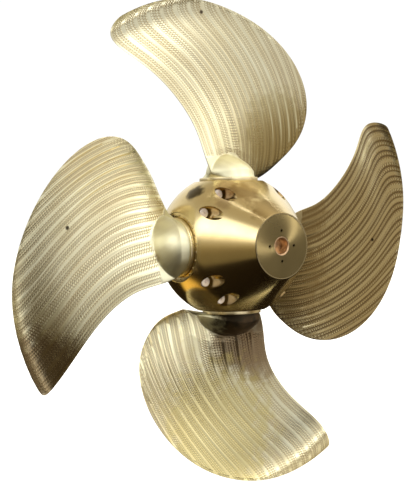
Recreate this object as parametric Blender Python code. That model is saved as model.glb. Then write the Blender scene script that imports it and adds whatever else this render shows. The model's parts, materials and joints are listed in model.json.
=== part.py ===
"""Controllable-pitch ship propeller with four skewed blades on a split round hub.

The shaft axis is Y, the flat nose points to -Y and the shaft flange faces +Y with the origin on its
face. Blade 1 stands straight up (+Z), and the others follow clockwise as seen from the nose. Every
blade is drawn once in its own frame, with its spindle along Z through the hub centre, and copied.
The blades are set near zero pitch, as photographed.
"""

import math

import bmesh
import bpy
import numpy as np
from mathutils import Matrix

# Driving sizes in metres
TIP_RADIUS = 1.0
BLADE_COUNT = 4
SEAT_GAP = 0.0003            # kept between pieces that touch
BLADE_PLANE = -0.300         # the spindles' plane, measured from the flange face

# Hub: distances along the shaft are from the blade plane, positive towards the ship
HUB_SPHERE = 0.289
NOSE_FACE = -0.327
NOSE_RADIUS = 0.1265
CONE_START = -0.152
FLANGE_FACE = -BLADE_PLANE
FLANGE_RADIUS = 0.175
FLANGE_THICKNESS = 0.060
NECK_START = 0.150
HUB_STEPS = 64
SPHERE_POINTS = 7
CUT_OVERRUN = 0.02           # how far a cutter reaches past the face it opens

# Ports: heights are from the shaft axis along a spindle
PORT_PLANE = 0.252
RECESS_RADIUS = 0.137
RECESS_FLOOR = 0.236
PORT_BORE_RADIUS = 0.1125
PORT_FLOOR = 0.184
RING_RADIUS = 0.1362
RING_BORE_RADIUS = 0.1132
PALM_RADIUS = 0.1115
PALM_EDGE = 0.259
PALM_TOP = 0.275
PALM_TOP_RADIUS = 0.096
PALM_ROUNDING_STEPS = 4
PORT_STEPS = 40

# Casing bolts
BOLT_CIRCLE = 0.240
BOLT_ANGLE = math.radians(33.0)     # either side of each spindle
BOLT_SEAT = -0.082
BOLT_HEAD_RADIUS = 0.018
BOLT_HEAD_HEIGHT = 0.022
BOLT_SHANK_RADIUS = 0.012
BOLT_POCKET_RADIUS = 0.027
BOLT_REACH = 0.060
POCKET_STEPS = 16
SMALL_STEPS = 12             # sides of bolts and small holes
SOCKET_RADIUS = 0.0105
SOCKET_DEPTH = 0.010

# Nose plate and bush
PLATE_RADIUS = 0.1205
PLATE_THICKNESS = 0.030
BUSH_OUTER = 0.0360
BUSH_BORE = 0.0300
BUSH_LENGTH = 0.050
BUSH_FLOOR = 0.006
BUSH_INSET = 0.001
BUSH_CHAMFER = 0.003
TAPPED_CIRCLE = 0.058
TAPPED_RADIUS = 0.0045
TAPPED_DEPTH = 0.014
PLATE_STEPS = 48
BUSH_STEPS = 32

# Flange holes
FLANGE_HOLE_CIRCLE = 0.145
FLANGE_HOLE_RADIUS = 0.012
FLANGE_HOLE_COUNT = 12
FLANGE_HOLE_DEPTH = 0.050

# Blade: stations run from 0 at the root cylinder to 1 at the tip
ROOT_RADIUS = 0.27
STATIONS = (0.0, 0.08, 0.18, 0.30, 0.45, 0.60, 0.75, 0.90, 1.0)
CHORDS = (0.270, 0.420, 0.545, 0.685, 0.773, 0.705, 0.525, 0.270, 0.0)
SKEWS = (0.070, 0.175, 0.220, 0.185, 0.055, -0.125, -0.285, -0.400, -0.505)
PITCH_STATIONS = (0.0, 0.25, 0.50, 0.75, 1.0)
PITCH_DEGREES = (28.0, 7.0, -2.5, -5.5, -2.0)
RAKES = (0.010, 0.018, -0.003, -0.010, -0.030)
ROOT_THICKNESS = 0.085
TIP_THICKNESS = 0.010
THICKNESS_PER_CHORD = 0.16   # most that a section may have
CAMBER = 0.02
FIRST_STATION = 0.028        # lowest full section, just outside the hub's sphere
LAST_STATION = 0.988
SPAN_STEPS = 28
SPAN_CROWDING = 0.4          # sections lie closer together at the root and at the tip
SIDE_POINTS = 14
SECTION_FULLNESS = 0.89
SECTION_TAPER = 0.36         # how much thinner the trailing half of a section is

# Rounded root that swells out of the palm and fades into both faces of the blade
ROOT_LENGTH = 0.094          # half length along the chord
ROOT_WIDTH = 0.080           # half width across it
ROOT_RISE = 0.150            # height above the palm where it has faded out
ROOT_BLEND = 4               # sharper corner between root and blade face as this grows
FILLET_STEPS = 4
FILLET_LIFT = 0.012
FILLET_SPREAD = 1.5


def clear_scene():
    for item in list(bpy.data.objects):
        bpy.data.objects.remove(item, do_unlink=True)


def metal(name, colour, roughness):
    """A Principled metal with the piece's own colour."""
    material = bpy.data.materials.new(name)
    material.use_nodes = True
    shader = material.node_tree.nodes["Principled BSDF"]
    shader.inputs["Base Color"].default_value = (*colour, 1.0)
    shader.inputs["Roughness"].default_value = roughness
    shader.inputs["Metallic"].default_value = 1.0
    return material


def finish(bm, name):
    """Turn a bmesh into a smooth-shaded mesh with outward faces."""
    bmesh.ops.recalc_face_normals(bm, faces=bm.faces)
    if bm.calc_volume(signed=True) < 0:
        bmesh.ops.reverse_faces(bm, faces=bm.faces)
    mesh = bpy.data.meshes.new(name)
    bm.to_mesh(mesh)
    bm.free()
    mesh.shade_smooth()
    mesh.set_sharp_from_angle(angle=math.radians(35))
    return mesh


def add_object(name, mesh, material=None, location=(0, 0, 0), turn_y=0.0):
    item = bpy.data.objects.new(name, mesh)
    bpy.context.scene.collection.objects.link(item)
    item.location = location
    item.rotation_euler = (0.0, turn_y, 0.0)
    if material:
        mesh.materials.clear()
        mesh.materials.append(material)
    return item


def turned(bm, profile, axis, steps, transform=None):
    """Spin a profile of (distance along the axis, radius) points into a closed solid."""
    before = set(bm.verts)
    along_z = axis == "Z"
    points = []
    for along, radius in profile:
        points.append(bm.verts.new((radius, 0, along) if along_z else (radius, along, 0)))
    closed = profile[0][1] > 0
    pairs = list(zip(points, points[1:])) + ([(points[-1], points[0])] if closed else [])
    edges = [bm.edges.new(pair) for pair in pairs]
    bmesh.ops.spin(
        bm,
        geom=points + edges,
        cent=(0, 0, 0),
        axis=(0, 0, 1) if along_z else (0, 1, 0),
        angle=math.tau,
        steps=steps,
        use_merge=True,
    )
    made = [vert for vert in bm.verts if vert not in before]
    bmesh.ops.remove_doubles(bm, verts=made, dist=1e-6)
    if transform is not None:
        made = [vert for vert in bm.verts if vert not in before]
        bmesh.ops.transform(bm, matrix=transform, verts=made)


def turned_mesh(name, profile, axis, steps):
    bm = bmesh.new()
    turned(bm, profile, axis, steps)
    return finish(bm, name)


def spindle_turns():
    """The turn about Y that carries the drawn blade to each of the blade places."""
    return [index * math.tau / BLADE_COUNT for index in range(BLADE_COUNT)]


def bolt_places():
    """Centres (x, z) of the casing bolts, two between each pair of blades."""
    places = []
    for turn in spindle_turns():
        for side in (BOLT_ANGLE, math.tau / BLADE_COUNT - BOLT_ANGLE):
            angle = turn + side
            places.append((BOLT_CIRCLE * math.sin(angle), BOLT_CIRCLE * math.cos(angle)))
    return places


def sphere_radius(along):
    return math.sqrt(HUB_SPHERE**2 - along**2)


def sphere_profile(start, end):
    return [(along, sphere_radius(along)) for along in np.linspace(start, end, SPHERE_POINTS)]


def hub_cutter():
    """All that is cut from both casing halves: ports, bolt pockets and bolt holes."""
    bm = bmesh.new()
    outside = HUB_SPHERE + CUT_OVERRUN
    port = [
        (PORT_FLOOR, 0),
        (PORT_FLOOR, PORT_BORE_RADIUS),
        (RECESS_FLOOR, PORT_BORE_RADIUS),
        (RECESS_FLOOR, RECESS_RADIUS),
        (outside, RECESS_RADIUS),
        (outside, 0),
    ]
    for turn in spindle_turns():
        turned(bm, port, "Z", PORT_STEPS, Matrix.Rotation(turn, 4, "Y"))
    hole = [
        (NOSE_FACE - CUT_OVERRUN, 0),
        (NOSE_FACE - CUT_OVERRUN, BOLT_POCKET_RADIUS),
        (BOLT_SEAT, BOLT_POCKET_RADIUS),
        (BOLT_SEAT, BOLT_SHANK_RADIUS + SEAT_GAP),
        (BOLT_REACH + SEAT_GAP, BOLT_SHANK_RADIUS + SEAT_GAP),
        (BOLT_REACH + SEAT_GAP, 0),
    ]
    for x, z in bolt_places():
        turned(bm, hole, "Y", POCKET_STEPS, Matrix.Translation((x, 0, z)))
    cutter = add_object("hub_cutter", finish(bm, "hub_cutter"), None, (0, BLADE_PLANE, 0))
    hide(cutter)
    return cutter


def flange_cutter():
    bm = bmesh.new()
    for index in range(FLANGE_HOLE_COUNT):
        angle = (index + 0.5) * math.tau / FLANGE_HOLE_COUNT
        centre = (FLANGE_HOLE_CIRCLE * math.sin(angle), 0, FLANGE_HOLE_CIRCLE * math.cos(angle))
        deep = FLANGE_FACE - FLANGE_HOLE_DEPTH
        hole = [(deep, 0), (deep, FLANGE_HOLE_RADIUS), (FLANGE_FACE + CUT_OVERRUN, FLANGE_HOLE_RADIUS),
                (FLANGE_FACE + CUT_OVERRUN, 0)]
        turned(bm, hole, "Y", SMALL_STEPS, Matrix.Translation(centre))
    cutter = add_object("flange_cutter", finish(bm, "flange_cutter"), None, (0, BLADE_PLANE, 0))
    hide(cutter)
    return cutter


def tapped_cutter():
    bm = bmesh.new()
    for turn in spindle_turns():
        centre = (TAPPED_CIRCLE * math.sin(turn), 0, TAPPED_CIRCLE * math.cos(turn))
        hole = [(NOSE_FACE - CUT_OVERRUN, 0), (NOSE_FACE - CUT_OVERRUN, TAPPED_RADIUS),
                (NOSE_FACE + TAPPED_DEPTH, TAPPED_RADIUS), (NOSE_FACE + TAPPED_DEPTH, 0)]
        turned(bm, hole, "Y", SMALL_STEPS, Matrix.Translation(centre))
    cutter = add_object("tapped_cutter", finish(bm, "tapped_cutter"), None, (0, BLADE_PLANE, 0))
    hide(cutter)
    return cutter


def hide(cutter):
    cutter.hide_render = True
    cutter.display_type = "WIRE"


def cut(item, cutter):
    modifier = item.modifiers.new("cut " + cutter.name, "BOOLEAN")
    modifier.operation = "DIFFERENCE"
    modifier.solver = "EXACT"
    modifier.object = cutter


def make_hub(bronze):
    """The two casing halves, which meet on the blade plane."""
    cutter = hub_cutter()
    plate_seat = NOSE_FACE + PLATE_THICKNESS
    bush_end = NOSE_FACE + BUSH_LENGTH
    aft = [
        (bush_end + SEAT_GAP, 0),
        (bush_end + SEAT_GAP, BUSH_OUTER + SEAT_GAP),
        (plate_seat, BUSH_OUTER + SEAT_GAP),
        (plate_seat, PLATE_RADIUS + SEAT_GAP),
        (NOSE_FACE, PLATE_RADIUS + SEAT_GAP),
        (NOSE_FACE, NOSE_RADIUS),
    ]
    aft += sphere_profile(CONE_START, -SEAT_GAP / 2)
    aft += [(-SEAT_GAP / 2, 0)]
    aft_half = add_object(
        "hub_aft_half", turned_mesh("hub_aft_half", aft, "Y", HUB_STEPS), bronze, (0, BLADE_PLANE, 0)
    )
    cut(aft_half, cutter)
    forward = [(FLANGE_FACE, 0), (FLANGE_FACE, FLANGE_RADIUS)]
    forward += [(FLANGE_FACE - FLANGE_THICKNESS, FLANGE_RADIUS)]
    forward += sphere_profile(NECK_START, SEAT_GAP / 2)
    forward += [(SEAT_GAP / 2, 0)]
    forward_half = add_object(
        "hub_forward_half",
        turned_mesh("hub_forward_half", forward, "Y", HUB_STEPS),
        bronze,
        (0, BLADE_PLANE, 0),
    )
    cut(forward_half, cutter)
    cut(forward_half, flange_cutter())


def make_nose(bronze, copper):
    back = NOSE_FACE + PLATE_THICKNESS - SEAT_GAP
    bore = BUSH_OUTER + SEAT_GAP
    plate = [(NOSE_FACE, bore), (NOSE_FACE, PLATE_RADIUS), (back, PLATE_RADIUS), (back, bore)]
    disc = add_object(
        "end_plate", turned_mesh("end_plate", plate, "Y", PLATE_STEPS), bronze, (0, BLADE_PLANE, 0)
    )
    cut(disc, tapped_cutter())
    front = NOSE_FACE + BUSH_INSET
    back = NOSE_FACE + BUSH_LENGTH
    bush = [
        (back - BUSH_FLOOR, 0),
        (back - BUSH_FLOOR, BUSH_BORE),
        (front + BUSH_CHAMFER, BUSH_BORE),
        (front, BUSH_BORE + BUSH_CHAMFER),
        (front, BUSH_OUTER),
        (back, BUSH_OUTER),
        (back, 0),
    ]
    add_object(
        "centre_bush", turned_mesh("centre_bush", bush, "Y", BUSH_STEPS), copper, (0, BLADE_PLANE, 0)
    )


def make_bolts(steel):
    top = BOLT_SEAT - SEAT_GAP - BOLT_HEAD_HEIGHT
    profile = [
        (top + SOCKET_DEPTH, 0),
        (top + SOCKET_DEPTH, SOCKET_RADIUS),
        (top, SOCKET_RADIUS),
        (top, BOLT_HEAD_RADIUS),
        (BOLT_SEAT - SEAT_GAP, BOLT_HEAD_RADIUS),
        (BOLT_SEAT - SEAT_GAP, BOLT_SHANK_RADIUS),
        (BOLT_REACH, BOLT_SHANK_RADIUS),
        (BOLT_REACH, 0),
    ]
    mesh = turned_mesh("hub_bolt", profile, "Y", SMALL_STEPS)
    for index, (x, z) in enumerate(bolt_places(), start=1):
        add_object(f"hub_bolt_{index}", mesh, steel, (x, BLADE_PLANE, z))


def make_port_rings(bronze):
    floor = RECESS_FLOOR + SEAT_GAP
    profile = [
        (floor, RING_BORE_RADIUS),
        (floor, RING_RADIUS),
        (PORT_PLANE, RING_RADIUS),
        (PORT_PLANE, RING_BORE_RADIUS),
    ]
    mesh = turned_mesh("port_ring", profile, "Z", PORT_STEPS)
    for index, turn in enumerate(spindle_turns(), start=1):
        add_object(f"port_ring_{index}", mesh, bronze, (0, BLADE_PLANE, 0), turn)


def make_palms(bronze):
    profile = [(PORT_FLOOR + SEAT_GAP, 0), (PORT_FLOOR + SEAT_GAP, PALM_RADIUS)]
    for step in range(PALM_ROUNDING_STEPS + 1):
        angle = math.pi / 2 * step / PALM_ROUNDING_STEPS
        radius = PALM_TOP_RADIUS + (PALM_RADIUS - PALM_TOP_RADIUS) * math.cos(angle)
        profile.append((PALM_EDGE + (PALM_TOP - PALM_EDGE) * math.sin(angle), radius))
    profile.append((PALM_TOP, 0))
    mesh = turned_mesh("blade_palm", profile, "Z", PORT_STEPS)
    for index, turn in enumerate(spindle_turns(), start=1):
        add_object(f"blade_palm_{index}", mesh, bronze, (0, BLADE_PLANE, 0), turn)


def smooth_curve(knots, values, flat_end=False):
    """A natural cubic spline through the knots, level at its end if asked."""
    knots = np.asarray(knots, float)
    values = np.asarray(values, float)
    count = len(knots)
    gaps = np.diff(knots)
    slopes = np.diff(values) / gaps
    system = np.eye(count)
    right = np.zeros(count)
    for row in range(1, count - 1):
        system[row, row - 1 : row + 2] = (gaps[row - 1], 2 * (gaps[row - 1] + gaps[row]), gaps[row])
        right[row] = 6 * (slopes[row] - slopes[row - 1])
    if flat_end:
        system[-1, -2:] = (gaps[-1], 2 * gaps[-1])
        right[-1] = -6 * slopes[-1]
    bend = np.linalg.solve(system, right)

    def value(place):
        index = int(np.clip(np.searchsorted(knots, place) - 1, 0, count - 2))
        gap = gaps[index]
        ahead = knots[index + 1] - place
        behind = place - knots[index]
        return (
            (bend[index] * ahead**3 + bend[index + 1] * behind**3) / (6 * gap)
            + (values[index] / gap - bend[index] * gap / 6) * ahead
            + (values[index + 1] / gap - bend[index + 1] * gap / 6) * behind
        )

    return value


CHORD_AT = smooth_curve(STATIONS, CHORDS)
SKEW_AT = smooth_curve(STATIONS, SKEWS)
RAKE_AT = smooth_curve(PITCH_STATIONS, RAKES, flat_end=True)
PITCH_AT = smooth_curve(PITCH_STATIONS, PITCH_DEGREES, flat_end=True)


def station_radius(station):
    return ROOT_RADIUS + (TIP_RADIUS - ROOT_RADIUS) * math.sin(math.pi / 2 * station)


def section_outline():
    """(place along the chord, side) pairs once round a section, from the trailing edge."""
    steps = [math.pi * index / SIDE_POINTS for index in range(SIDE_POINTS + 1)]
    back = [(-0.5 * math.cos(step), 1) for step in steps]
    face = [(-0.5 * math.cos(step), -1) for step in reversed(steps[1:-1])]
    return back + face


def half_thickness(place):
    """Half thickness of a section, as a share of its full thickness."""
    from_nose = 0.5 - place
    fullness = SECTION_FULLNESS - SECTION_TAPER * from_nose
    return fullness * math.sqrt(max(from_nose * (1 - from_nose), 0))


def root_bulge(height, from_spindle, middle, side):
    """How far the rounded root stands off the blade's middle surface, zero past its rim."""
    rise = (height - PALM_TOP) / ROOT_RISE
    inside = 1 - rise**2 - (from_spindle / ROOT_LENGTH) ** 2
    bulge = math.sqrt(max(inside, 0))
    return max(bulge * (ROOT_WIDTH - side * middle), 0)


def blade_point(station, place, side):
    """A point of the blade skin in the blade's own frame."""
    radius = station_radius(station)
    chord = CHORD_AT(station)
    skew = SKEW_AT(station)
    rake = RAKE_AT(station)
    pitch = math.radians(PITCH_AT(station))
    share = (radius - ROOT_RADIUS) / (TIP_RADIUS - ROOT_RADIUS)
    thickness = ROOT_THICKNESS + (TIP_THICKNESS - ROOT_THICKNESS) * share
    thickness = min(thickness, THICKNESS_PER_CHORD * chord)
    arch = CAMBER * chord * (1 - (2 * place) ** 2)
    from_spindle = place * chord + skew * radius / math.cos(pitch)
    bulge = root_bulge(radius, from_spindle, rake + arch, side)
    section = thickness * half_thickness(place)
    stand_off = (section**ROOT_BLEND + bulge**ROOT_BLEND) ** (1 / ROOT_BLEND)
    offset = arch + side * stand_off
    angle = skew + (place * chord * math.cos(pitch) - offset * math.sin(pitch)) / radius
    along = rake + radius * skew * math.tan(pitch)
    along += place * chord * math.sin(pitch) + offset * math.cos(pitch)
    return np.array((radius * math.sin(angle), along, radius * math.cos(angle)))


def foot_point(place, side):
    """A point of the oval foot that stands on the palm."""
    turn = math.radians(PITCH_DEGREES[0])
    length = 2 * ROOT_LENGTH * place
    width = side * ROOT_WIDTH * math.sqrt(max(0.0, 1 - (2 * place) ** 2))
    across = length * math.cos(turn) - width * math.sin(turn)
    along = length * math.sin(turn) + width * math.cos(turn)
    return np.array((across, along, PALM_TOP + SEAT_GAP))


def blade_loops():
    """Closed loops up the blade: its foot, the fillet above it, then the sections to the tip."""
    outline = section_outline()
    foot = [foot_point(place, side) for place, side in outline]
    first = [blade_point(FIRST_STATION, place, side) for place, side in outline]
    loops = [foot]
    for step in range(1, FILLET_STEPS):
        share = step / FILLET_STEPS
        spread = np.array((share**FILLET_SPREAD, share**FILLET_SPREAD, share))
        rise = np.array((0.0, 0.0, FILLET_LIFT * math.sin(math.pi * share)))
        loops.append([low + (high - low) * spread + rise for low, high in zip(foot, first)])
    for share in np.linspace(0, 1, SPAN_STEPS):
        share -= SPAN_CROWDING * math.sin(math.tau * share) / math.tau
        station = FIRST_STATION + (LAST_STATION - FIRST_STATION) * share
        loops.append([blade_point(station, place, side) for place, side in outline])
    return loops


def make_blades(bronze):
    bm = bmesh.new()
    rings = [[bm.verts.new(point) for point in loop] for loop in blade_loops()]
    for lower, upper in zip(rings, rings[1:]):
        for index in range(len(lower)):
            following = (index + 1) % len(lower)
            bm.faces.new((lower[index], lower[following], upper[following], upper[index]))
    bm.faces.new(rings[0])
    bm.faces.new(rings[-1])
    mesh = finish(bm, "blade")
    for index, turn in enumerate(spindle_turns(), start=1):
        add_object(f"blade_{index}", mesh, bronze, (0, BLADE_PLANE, 0), turn)


def main():
    clear_scene()
    hub_bronze = metal("hub_bronze", (0.72, 0.60, 0.42), 0.22)
    ring_bronze = metal("ring_bronze", (0.66, 0.55, 0.38), 0.30)
    blade_bronze = metal("blade_bronze", (0.74, 0.66, 0.48), 0.35)
    copper = metal("bush_copper", (0.62, 0.38, 0.26), 0.35)
    bolt_steel = metal("bolt_bronze", (0.70, 0.60, 0.45), 0.30)
    make_hub(hub_bronze)
    make_nose(hub_bronze, copper)
    make_bolts(bolt_steel)
    make_port_rings(ring_bronze)
    make_palms(blade_bronze)
    make_blades(blade_bronze)


main()
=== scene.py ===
# %% [markdown]
# # A milled bronze ship propeller
# The part is a controllable-pitch propeller: four skewed bronze blades, each on a round palm that turns
# in a port of a split hub. The frame already holds every solid in its place. This lesson gives each
# visible surface its finish: rows of ball-cutter marks on the blades, turned and polished bronze on the
# hub, small screws on the port rings. It then adds a pale floor, soft light and the camera.

import json
import math

import bmesh
import bpy
import numpy as np
from mathutils import Matrix, Vector


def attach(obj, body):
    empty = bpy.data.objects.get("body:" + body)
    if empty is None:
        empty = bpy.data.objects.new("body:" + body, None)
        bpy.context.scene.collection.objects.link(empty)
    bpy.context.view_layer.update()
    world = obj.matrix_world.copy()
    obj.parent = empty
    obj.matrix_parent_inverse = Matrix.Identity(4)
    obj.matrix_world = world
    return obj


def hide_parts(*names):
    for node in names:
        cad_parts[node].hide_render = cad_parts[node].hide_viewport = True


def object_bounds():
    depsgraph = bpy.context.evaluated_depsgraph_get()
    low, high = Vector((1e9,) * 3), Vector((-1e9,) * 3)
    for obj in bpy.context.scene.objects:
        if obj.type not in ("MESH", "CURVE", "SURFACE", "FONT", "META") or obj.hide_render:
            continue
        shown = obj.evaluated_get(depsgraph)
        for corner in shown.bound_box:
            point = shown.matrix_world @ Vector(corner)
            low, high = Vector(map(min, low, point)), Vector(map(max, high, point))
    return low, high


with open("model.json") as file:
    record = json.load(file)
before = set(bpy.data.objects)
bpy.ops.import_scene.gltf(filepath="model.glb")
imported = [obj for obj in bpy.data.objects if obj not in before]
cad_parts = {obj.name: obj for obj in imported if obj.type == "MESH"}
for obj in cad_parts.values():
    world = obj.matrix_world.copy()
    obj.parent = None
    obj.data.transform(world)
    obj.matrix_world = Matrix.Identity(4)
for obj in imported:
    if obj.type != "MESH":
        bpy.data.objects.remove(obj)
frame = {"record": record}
cad_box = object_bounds()
print("CAD box:", [round(value, 3) for corner in cad_box for value in corner])

# %% [markdown]
# The hub's centre is where the four spindles meet. The record gives it as the place of the first pitch
# joint, so it is read from there. The other sizes repeat the ones that the solids were drawn with, and
# the ones that only one piece needs come with that piece.

# %% Sizes of the hub, in metres
BLADE_PLANE = frame["record"]["behaviour"]["joints"][0]["pos_m"][1]
HUB_CENTRE = Vector((0.0, BLADE_PLANE, 0.0))
BLADE_COUNT = 4
HUB_SPHERE = 0.289
NOSE_FACE = -0.327
NOSE_RADIUS = 0.1265
CONE_START = -0.152
FLANGE_FACE = -BLADE_PLANE
FLANGE_RADIUS = 0.175
FLANGE_THICKNESS = 0.060
NECK_START = 0.150
RIM = 0.0022
SEAT_GAP = 0.0003
print("hub centre:", tuple(round(value, 3) for value in HUB_CENTRE))

# %% [markdown]
# ## Curves down the blade
# A blade is a stack of sections wrapped on cylinders. Its chord, skew, rake and pitch change smoothly
# from root to tip. A natural cubic spline through a handful of stations draws each of them.

# %% A smooth curve through knots
def smooth_curve(knots, values, flat_end=False):
    """A natural cubic spline through the knots, level at its end if asked."""
    knots = np.asarray(knots, float)
    values = np.asarray(values, float)
    count = len(knots)
    gaps = np.diff(knots)
    slopes = np.diff(values) / gaps
    system = np.eye(count)
    right = np.zeros(count)
    for row in range(1, count - 1):
        system[row, row - 1 : row + 2] = (gaps[row - 1], 2 * (gaps[row - 1] + gaps[row]), gaps[row])
        right[row] = 6 * (slopes[row] - slopes[row - 1])
    if flat_end:
        system[-1, -2:] = (gaps[-1], 2 * gaps[-1])
        right[-1] = -6 * slopes[-1]
    bend = np.linalg.solve(system, right)

    def value(place):
        index = np.clip(np.searchsorted(knots, place) - 1, 0, count - 2)
        gap = gaps[index]
        ahead = knots[index + 1] - place
        behind = place - knots[index]
        low = (values[index] / gap - bend[index] * gap / 6) * ahead
        high = (values[index + 1] / gap - bend[index + 1] * gap / 6) * behind
        return (bend[index] * ahead**3 + bend[index + 1] * behind**3) / (6 * gap) + low + high

    return value


# %% The blade's own curves
ROOT_RADIUS = 0.27
TIP_RADIUS = 1.0
STATIONS = (0.0, 0.08, 0.18, 0.30, 0.45, 0.60, 0.75, 0.90, 1.0)
PITCH_STATIONS = (0.0, 0.25, 0.50, 0.75, 1.0)
chord_at = smooth_curve(STATIONS, (0.270, 0.420, 0.545, 0.685, 0.773, 0.705, 0.525, 0.270, 0.0))
skew_at = smooth_curve(STATIONS, (0.070, 0.175, 0.220, 0.185, 0.055, -0.125, -0.285, -0.400, -0.505))
rake_at = smooth_curve(PITCH_STATIONS, (0.010, 0.018, -0.003, -0.010, -0.030), flat_end=True)
pitch_at = smooth_curve(PITCH_STATIONS, (28.0, 7.0, -2.5, -5.5, -2.0), flat_end=True)
CAMBER = 0.02
ROOT_THICKNESS = 0.085
TIP_THICKNESS = 0.010
THICKNESS_PER_CHORD = 0.16
SECTION_FULLNESS = 0.89
SECTION_TAPER = 0.36
BACK_SHARE = 0.65
FIRST_STATION = 0.028
LAST_STATION = 0.996
print("widest chord:", round(float(chord_at(np.array(0.45))), 3), "m")

# %% [markdown]
# ## Ball-cutter rows
# The faces are left as a ball-nosed cutter milled them. The passes lie side by side, parallel to the
# trailing edge. Each pair of passes makes a shallow trough, and every fifth pass leaves a smooth, proud
# crest that shines as a light line. These two are large enough to bend the light by themselves, so they
# are cut in the mesh. The small dimple of each tooth is finer, and is left to the metal's bump. A strip
# along the leading edge is cut a little deeper, and a low ridge divides it from the rows.

# %% Depths of the cut
PASS_PITCH = 0.0122
TOOTH_PITCH = 0.0108
TROUGH_PITCH = 2 * PASS_PITCH
TROUGH_DEPTH = 0.00042
TROUGH_UNEVENNESS = 0.45
CREST_PITCH = 5 * PASS_PITCH
CREST_WIDTH = 0.0115
CREST_DEPTH = 0.0010
CREST_SWAY = 0.0035
CREST_SHIVER = 0.002
WAVE_DEPTH = 0.0006
WAVE_LENGTH = 0.058
EDGE_STRIP = 0.034
EDGE_DEPTH = 0.0014
RIDGE_HEIGHT = 0.0008
RIDGE_SHARE = 0.25


def crest_mask(across, along):
    """One on the proud crests, zero between them."""
    drift = CREST_SWAY * np.sin(5.0 * along + 1.3) + CREST_SHIVER * np.sin(13.0 * along)
    place = (across + drift) / CREST_PITCH
    distance = np.abs(place - np.round(place)) * CREST_PITCH
    return np.clip(1 - (distance / CREST_WIDTH) ** 2, 0, 1) ** 2


def mill_depth(across, along, strip):
    """Depth of cut at a distance from the trailing edge and along the span, in metres."""
    row = np.floor(across / TROUGH_PITCH)
    trough = 1 - (2 * (across / TROUGH_PITCH - row) - 1) ** 2
    uneven = 1 + TROUGH_UNEVENNESS * np.sin(2.3 * row + 7.0 * along)
    wave = 0.5 - 0.5 * np.cos(math.tau * across / WAVE_LENGTH + 1.4 * np.sin(4.1 * along))
    crest = crest_mask(across, along)
    depth = TROUGH_DEPTH * trough * uneven * (1 - crest) + WAVE_DEPTH * wave
    depth = depth + CREST_DEPTH * (1 - crest)
    edge = EDGE_DEPTH - RIDGE_HEIGHT * np.clip(1 - strip / RIDGE_SHARE, 0, 1) ** 2
    return np.where(strip > 0, edge, depth)


print("rows and crests, mm apart:", round(TROUGH_PITCH * 1000, 1), round(CREST_PITCH * 1000, 1))

# %% [markdown]
# ## The rounded root
# Every blade swells into a smooth pillow over its palm, so that the load flows into the hub. It is like
# an upright half egg with soft shoulders: at each height it stands off the blade's middle surface. The
# larger of the pillow and the section wins, and a smooth maximum puts a fillet between them. The
# cutter's rows stop at the fillet, so a mask says how smooth the metal is there.

# %% How far the root stands off
ROOT_LENGTH = 0.146
ROOT_WIDTH_AFT = 0.107
ROOT_WIDTH_FORWARD = 0.088
ROOT_BASE = 0.262
ROOT_RISE = 0.102
ROOT_SQUARENESS = 2.6
ROOT_SHOULDER = 0.8
ROOT_FILLET = 0.045
FILLET_GROWTH = 1.5
END_ROUNDING = 0.040
PLAIN_BASE = 0.285
PLAIN_TOP = 0.368
PLAIN_REACH = 0.150
PLAIN_SWAY = 0.008
PLAIN_EDGE = 0.006
CUT_FADE = 0.004


def root_bulge(height, from_spindle, middle, side, from_edge):
    """How far the pillow stands off the blade's middle surface."""
    width = np.where(side < 0, ROOT_WIDTH_AFT, ROOT_WIDTH_FORWARD)
    rise = np.clip((height - ROOT_BASE) / ROOT_RISE, 0, 1)
    inside = np.clip(1 - rise**ROOT_SQUARENESS - (from_spindle / ROOT_LENGTH) ** 2, 0, None)
    to_edge = np.clip(from_edge / END_ROUNDING, 0, 1)
    ends = np.sqrt(to_edge * (2 - to_edge))
    return np.clip(inside**ROOT_SHOULDER * ends * (width - side * middle), 0, None)


def smooth_root(height, from_spindle):
    """One on the smooth root, zero on the milled face."""
    toward_nose = np.clip(from_spindle / PLAIN_REACH, 0, 1)
    limit = PLAIN_BASE + (PLAIN_TOP - PLAIN_BASE) * np.sqrt(1 - toward_nose**2)
    limit = limit + PLAIN_SWAY * np.sin(31 * from_spindle)
    return np.clip((limit - height) / PLAIN_EDGE, 0, 1)


def swell(section, bulge):
    """A smooth maximum of the two, with a fillet that fades out with the bulge."""
    width = np.minimum(ROOT_FILLET, FILLET_GROWTH * bulge) + 1e-9
    near = np.clip(width - np.abs(section - bulge), 0, None) / width
    return np.maximum(section, bulge) + near**2 * width / 4


print("root's half widths, aft and forward:", ROOT_WIDTH_AFT, ROOT_WIDTH_FORWARD, "m")

# %% [markdown]
# ## Points of the skin
# A point of the skin is named by its station down the blade, its place along the chord and its side.
# The section is an arch with a thickness on either side of it. The pillow and the cut change how far
# the skin stands off that arch. Then the section is set to its pitch and wrapped on its cylinder.

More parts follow.
